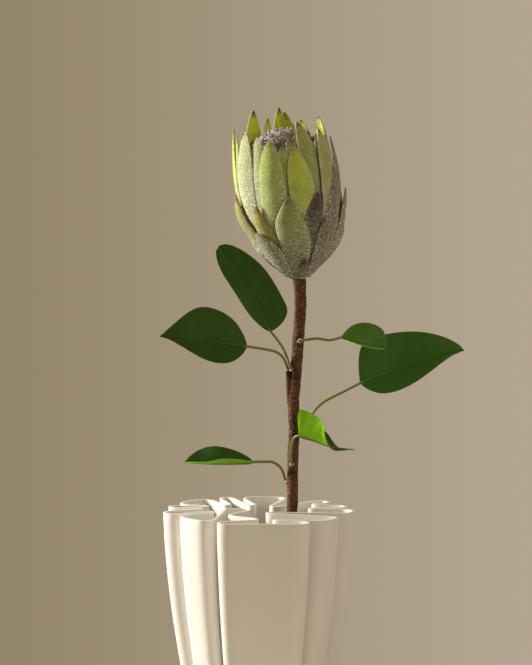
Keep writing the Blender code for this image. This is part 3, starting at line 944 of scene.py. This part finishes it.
def build_egg(name, profile, sides, finish):
    """A round body on the head's axis, from its profile of heights and radii."""
    guide = curve_through(profile, EGG_ROWS)
    axis = on_head(np.zeros(EGG_ROWS), np.zeros(EGG_ROWS), guide[:, 0])
    obj = roll_tube(name, axis, guide[:, 1], sides)
    smooth(obj, 60)
    wear(obj, finish)
    return obj


core = build_egg("felted_core", CORE, 48, core_felt)
roughen(core, (5.0, 0.2))
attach(core, "root")
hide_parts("core")
print("core faces:", len(core.data.polygons))

# %% [markdown]
# ## Styles
# In the mouth of the head the styles stand packed together, crumbly to look at, because each ends in a small
# curled club. One is rolled from a sheet, then copied over a dome with its own size, turn and lean, and all
# are joined. Each next copy is turned by the golden angle, which is how a real head packs them.

# %% Styles
STYLES = ((60.4, 18), (75, 22.5), (92, 24), (102.5, 21.5), (108, 16), (111, 9))
STYLE_COUNT, STYLE_LENGTH = 250, 7.0
GOLDEN_ANGLE = math.radians(137.5)
TUFT_RADIUS, TUFT_HEIGHT, TUFT_DROP, ROOT_DEPTH = 22.5, 109.5, 9.0, 3.5


def build_style_seed():
    """One style: a short stalk that thickens into a club and curls over."""
    share = np.linspace(0, 1, 7)
    centres = np.column_stack([1.4 * share**3, 0 * share, STYLE_LENGTH * (share - 0.22 * share**3)])
    radii = 0.5 + 0.65 * share**2
    radii[-1] = 0.5
    return roll_tube("style_seed", centres, radii, 6)


def build_styles():
    dome = build_egg("styles_tuft", STYLES, 40, style_felt)
    seed = build_style_seed()
    wear(seed, style_felt)
    pattern = np.array([vertex.co for vertex in seed.data.vertices]) / MM
    random = np.random.default_rng(7)
    copies = []
    for i in range(STYLE_COUNT):
        share = (i + 0.5) / STYLE_COUNT
        angle = i * GOLDEN_ANGLE
        radius = TUFT_RADIUS * math.sqrt(share)
        height = TUFT_HEIGHT - TUFT_DROP * share**1.6 - ROOT_DEPTH
        root = Vector(on_head(np.array([angle]), np.array([radius]), np.array([height]))[0])
        out = Vector((math.sin(angle), -math.cos(angle), 0)) * (0.5 * share + random.normal(0, 0.28))
        turn = (Vector((0, 0, 1)) + out).to_track_quat("Z", "Y").to_matrix()
        turn = turn @ Matrix.Rotation(random.uniform(0, 2 * math.pi), 3, "Z") * random.uniform(0.7, 1.25)
        copy = seed.copy()
        copy.data = seed.data.copy()
        bpy.context.scene.collection.objects.link(copy)
        bend_to(copy, pattern @ np.array(turn).T + np.array(root))
        copies.append(copy)
    bpy.data.objects.remove(seed)
    pick(dome, *copies)
    bpy.ops.object.join()
    smooth(dome, 60)
    return dome


styles = build_styles()
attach(styles, "root")
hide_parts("styles")
print("styles faces:", len(styles.data.polygons))

# %% [markdown]
# ## Stage and camera
# A pale round floor under the vase, one strong lamp from the left and a little behind, a weak warm one from
# the right, and a long lens looking very slightly down. The backdrop is the world itself, a soft change of
# colour from left to right.

# %% Floor, lamps, world and camera
FLOOR_RADIUS, FLOOR_COLOUR = 0.32, (0.55, 0.5, 0.42)
BACKDROP_LEFT, BACKDROP_RIGHT = (0.297, 0.237, 0.147), (0.460, 0.377, 0.286)
CAMERA_AIM, CAMERA_DISTANCE, CAMERA_DOWN = Vector((0.0056, 0, 0.3243)), 2.08, math.radians(4.75)


def build_floor():
    bpy.ops.object.select_all(action="DESELECT")
    bpy.ops.mesh.primitive_circle_add(vertices=96, radius=FLOOR_RADIUS, fill_type="NGON")
    made = bpy.context.object
    made.name = "floor"
    wear(made, new_material("pale_floor", roughness=0.7, base_color=FLOOR_COLOUR)[0])


def add_lamp(name, place, aim, size, power, colour):
    light = bpy.data.lights.new(name, "AREA")
    light.shape, light.size, light.energy, light.color = "DISK", size, power, colour
    lamp = bpy.data.objects.new(name, light)
    bpy.context.scene.collection.objects.link(lamp)
    lamp.location = place
    lamp.rotation_euler = (Vector(aim) - Vector(place)).to_track_quat("-Z", "Y").to_euler()


def build_world():
    """A plain backdrop, a little lighter toward the right."""
    world = bpy.data.worlds.new("studio")
    world.use_nodes = True
    tree = world.node_tree
    place = add(tree, "TexCoord")
    parts = add(tree, "SeparateXYZ")
    tree.links.new(place.outputs["Generated"], parts.inputs[0])
    across = math_node(tree, "ADD", parts.outputs[0], 0.5)
    colour = ramp(tree, across, (0.41, BACKDROP_LEFT), (0.59, BACKDROP_RIGHT))
    tree.links.new(colour, tree.nodes["Background"].inputs["Color"])
    bpy.context.scene.world = world


def build_camera():
    lens = bpy.data.cameras.new("camera")
    lens.lens, lens.sensor_width, lens.clip_end = 150, 36, 20
    camera = bpy.data.objects.new("camera", lens)
    bpy.context.scene.collection.objects.link(camera)
    backward = Vector((0, -math.cos(CAMERA_DOWN), math.sin(CAMERA_DOWN)))
    camera.location = CAMERA_AIM + CAMERA_DISTANCE * backward
    camera.rotation_euler = (math.pi / 2 - CAMERA_DOWN, 0, 0)
    bpy.context.scene.camera = camera


build_floor()
add_lamp("key", (-1.5, 0.34, 0.8), (0, 0, 0.3), 0.4, 57, (1.0, 0.98, 0.93))
add_lamp("fill", (0.9, -1.6, 0.6), (0, 0, 0.25), 0.45, 4, (1.0, 0.95, 0.87))
build_world()
build_camera()
bpy.context.scene.view_settings.view_transform = "Standard"
